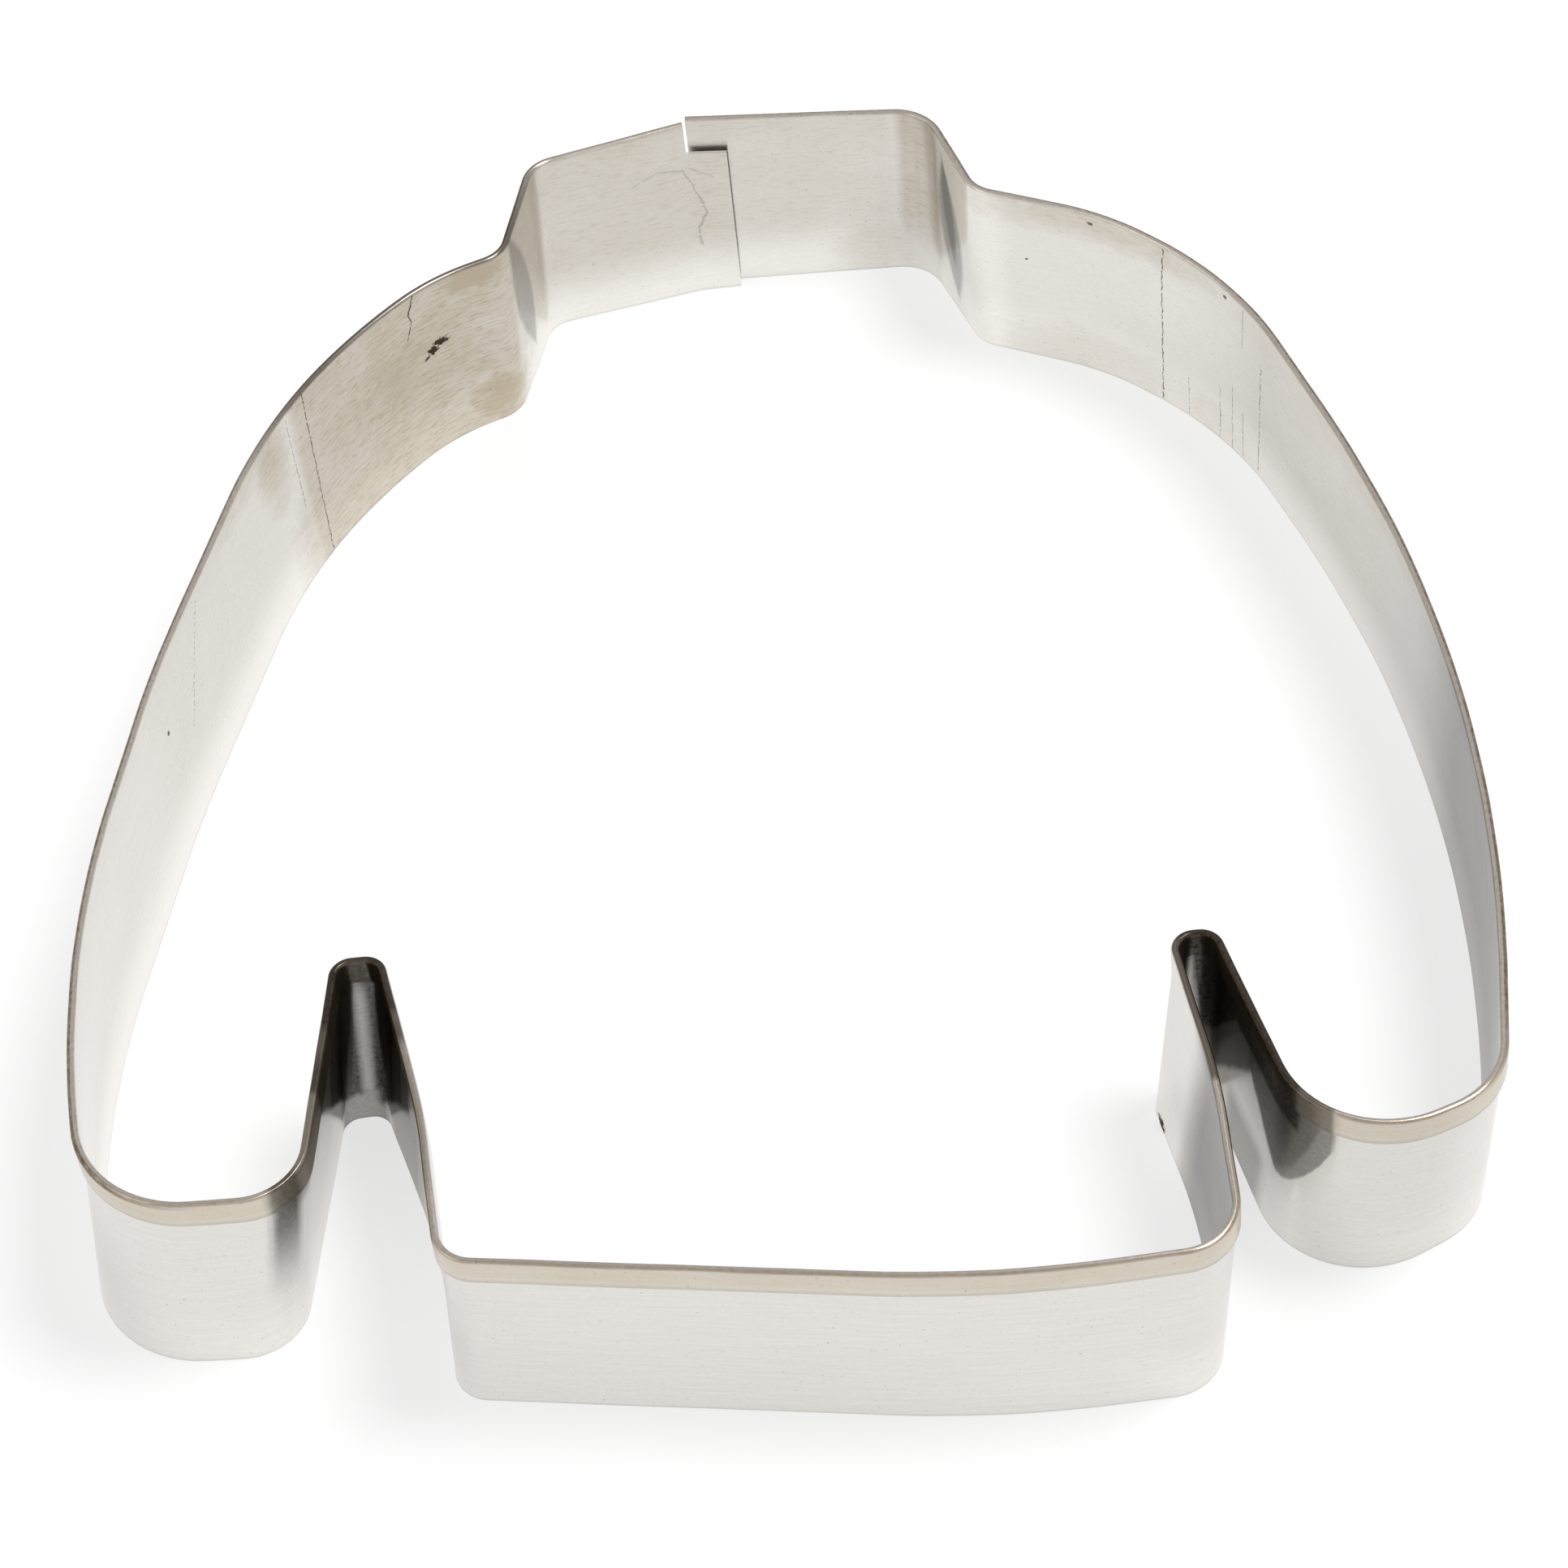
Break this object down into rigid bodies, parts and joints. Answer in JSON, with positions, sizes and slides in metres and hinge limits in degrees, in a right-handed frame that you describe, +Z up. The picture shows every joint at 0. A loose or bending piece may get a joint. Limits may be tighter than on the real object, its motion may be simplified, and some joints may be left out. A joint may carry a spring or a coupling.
{
  "type": "cookie cutter",
  "caption": "Sweater-shaped cookie cutter: a thin tinned-steel strip with a hemmed rim, a bare cutting edge and a lapped seam at the neck.",
  "frame": {"origin": "middle of the overall box, on the flat surface that the cutting edge stands on", "axes": "+X towards the sleeve on the viewer's right in the picture, +Y from the sweater's hem to its neck, +Z up from the cutting edge to the hemmed rim"},
  "size_m": [0.1161, 0.1332, 0.02],
  "materials": {
    "tinned_steel": "bright tinned sheet with a fine brushed grain along the strip, lightly scratched"
  },
  "bodies": {
    "root": {"cutter_band": "tinned_steel"}
  },
  "joints": []
}
